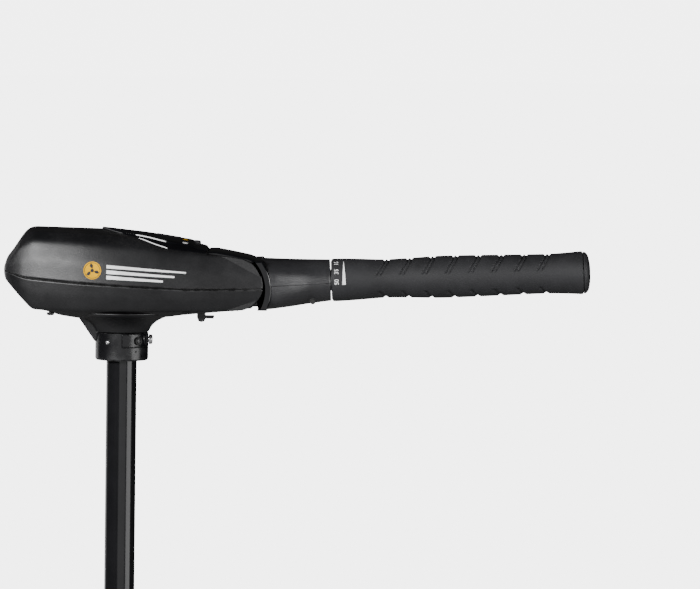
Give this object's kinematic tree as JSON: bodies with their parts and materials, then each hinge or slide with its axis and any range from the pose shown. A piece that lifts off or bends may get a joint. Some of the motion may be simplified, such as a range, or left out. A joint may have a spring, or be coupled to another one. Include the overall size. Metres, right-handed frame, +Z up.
{
  "type": "electric trolling motor",
  "caption": "Transom-mount electric trolling motor: clamp bracket, steering shaft, head with tilting telescoping twist-grip tiller, and a submerged motor pod with propeller and skeg.",
  "frame": {"origin": "middle of the clamp bracket face that bears on the outside of the transom, 34 mm below the transom's top edge", "axes": "+X into the boat, along the tiller; +Y to the left of someone facing forward along +X; +Z up, along the shaft"},
  "size_m": [0.685, 0.127, 0.9979],
  "materials": {
    "head_plastic": "fine texture",
    "gloss_plastic": "gloss",
    "lens": "clear smoked lens",
    "collar_plastic": "satin",
    "shaft_composite": "gloss",
    "grip_rubber": "soft matte",
    "nylon": "satin",
    "pod_paint": "black paint on cast aluminium",
    "tube_paint": "black paint on steel",
    "bracket_casting": "black powder coat on cast aluminium",
    "stainless_steel": "brushed",
    "aluminium": "polished",
    "copper": "copper windings and segments on steel",
    "ferrite": "raw",
    "circuit_board": "solder mask",
    "wire_red": "insulation",
    "wire_black": "insulation"
  },
  "bodies": {
    "bracket": {"clamp_bracket": "bracket_casting", "hinge_pin": "stainless_steel", "lock_quadrant": "stainless_steel"},
    "pad_left": {"clamp_pad_left": "nylon"},
    "pad_right": {"clamp_pad_right": "nylon"},
    "screw_left": {"clamp_screw_left": "stainless_steel", "clamp_knob_left": "nylon"},
    "screw_right": {"clamp_screw_right": "stainless_steel", "clamp_knob_right": "nylon"},
    "yoke": {"swivel_yoke": "bracket_casting", "steering_bush_upper": "nylon", "steering_bush_lower": "nylon"},
    "lock_lever": {"release_lever": "nylon"},
    "steer_tension_knob": {"tension_knob": "nylon"},
    "depth_stop": {"depth_collar": "bracket_casting"},
    "depth_knob": {"collar_knob": "nylon"},
    "motor": {"shaft": "shaft_composite", "shaft_collar": "collar_plastic", "collar_plate": "collar_plastic", "collar_bolt": "stainless_steel", "head_housing": "head_plastic", "head_cover": "head_plastic", "top_panel": "gloss_plastic", "meter_window": "lens", "control_board": "circuit_board", "heat_sink": "aluminium", "cable_gland": "grip_rubber", "tiller_pin": "stainless_steel", "housing_screw_1": "stainless_steel", "housing_screw_2": "stainless_steel", "housing_screw_3": "stainless_steel", "housing_screw_4": "stainless_steel", "brush_end_housing": "pod_paint", "centre_housing": "tube_paint", "plain_end_housing": "pod_paint", "magnet_upper": "ferrite", "magnet_lower": "ferrite", "brush_plate": "nylon", "front_bearing": "stainless_steel", "rear_bearing": "stainless_steel", "shaft_seal": "grip_rubber", "lead_red": "wire_red", "lead_black": "wire_black"},
    "check_button": {"meter_button": "grip_rubber"},
    "tilt_trigger": {"tilt_release_lever": "head_plastic"},
    "rotor": {"armature": "copper", "armature_axle": "stainless_steel", "commutator": "copper", "propeller": "nylon", "drive_pin": "stainless_steel", "prop_nut": "nylon"},
    "tiller_arm": {"knuckle": "gloss_plastic", "arm_upper_shell": "head_plastic", "arm_lower_shell": "head_plastic", "potentiometer": "stainless_steel", "tube_bush": "nylon"},
    "tiller_tube_body": {"tiller_tube": "aluminium"},
    "grip": {"grip_core": "head_plastic", "grip_sleeve": "grip_rubber", "grip_cap": "grip_rubber"}
  },
  "joints": [
    {"name": "bracket_tilt", "type": "hinge", "parent": "bracket", "child": "yoke", "pos_m": [-0.02, 0, 0.058], "axis": [0, 1, 0], "range_deg": [0, 75]},
    {"name": "steer", "type": "hinge", "parent": "yoke", "child": "depth_stop", "pos_m": [-0.072, 0, 0], "axis": [0, 0, 1], "continuous": true},
    {"name": "depth", "type": "slide", "parent": "depth_stop", "child": "motor", "axis": [0, 0, 1], "range_m": [-0.2, 0.2]},
    {"name": "propeller_spin", "type": "hinge", "parent": "motor", "child": "rotor", "pos_m": [-0.3, 0, -0.417], "axis": [1, 0, 0], "continuous": true},
    {"name": "tiller_tilt", "type": "hinge", "parent": "motor", "child": "tiller_arm", "pos_m": [0.0182, 0, 0.4008], "axis": [0, -1, 0], "range_deg": [0, 45]},
    {"name": "grip_twist", "type": "hinge", "parent": "tiller_arm", "child": "tiller_tube_body", "pos_m": [0.16791, 0, 0.41074], "axis": [-0.999, 0, -0.0436], "range_deg": [-60, 100]},
    {"name": "grip_extend", "type": "slide", "parent": "tiller_tube_body", "child": "grip", "axis": [0.999, 0, 0.0436], "range_m": [0, 0.152]},
    {"name": "tilt_trigger_pull", "type": "hinge", "parent": "motor", "child": "tilt_trigger", "pos_m": [-0.0018, 0, 0.3816], "axis": [0, 1, 0], "range_deg": [0, 12], "stiffness_Nm_per_rad": 0.3, "springref_deg": -11.46},
    {"name": "check_button_press", "type": "slide", "parent": "motor", "child": "check_button", "axis": [0, 0, -1], "range_m": [0, 0.0015], "stiffness_N_per_m": 300, "springref_m": -0.0005},
    {"name": "lock_lever_lift", "type": "hinge", "parent": "yoke", "child": "lock_lever", "pos_m": [-0.066, 0.035, 0.06], "axis": [0, -1, 0], "range_deg": [0, 12], "stiffness_Nm_per_rad": 0.4, "springref_deg": -11.46},
    {"name": "steer_tension_turn", "type": "hinge", "parent": "yoke", "child": "steer_tension_knob", "pos_m": [-0.072, -0.0385, 0.015], "axis": [0, -1, 0], "range_deg": [0, 360]},
    {"name": "depth_knob_turn", "type": "hinge", "parent": "depth_stop", "child": "depth_knob", "pos_m": [-0.072, -0.0405, 0.1046], "axis": [0, -1, 0], "range_deg": [0, 360]},
    {"name": "clamp_pad_left_advance", "type": "slide", "parent": "bracket", "child": "pad_left", "axis": [-1, 0, 0], "range_m": [0, 0.0201]},
    {"name": "clamp_screw_left_turn", "type": "hinge", "parent": "pad_left", "child": "screw_left", "pos_m": [0.09, 0.033, -0.014], "axis": [-1, 0, 0], "range_deg": [0, 2880]},
    {"name": "clamp_pad_right_advance", "type": "slide", "parent": "bracket", "child": "pad_right", "axis": [-1, 0, 0], "range_m": [0, 0.0201]},
    {"name": "clamp_screw_right_turn", "type": "hinge", "parent": "pad_right", "child": "screw_right", "pos_m": [0.09, -0.033, -0.014], "axis": [-1, 0, 0], "range_deg": [0, 2880]}
  ],
  "couplings": [
    {"joint": "clamp_pad_left_advance", "follows": "clamp_screw_left_turn", "m_per_rad": 0.00039789},
    {"joint": "clamp_pad_right_advance", "follows": "clamp_screw_right_turn", "m_per_rad": 0.00039789}
  ]
}
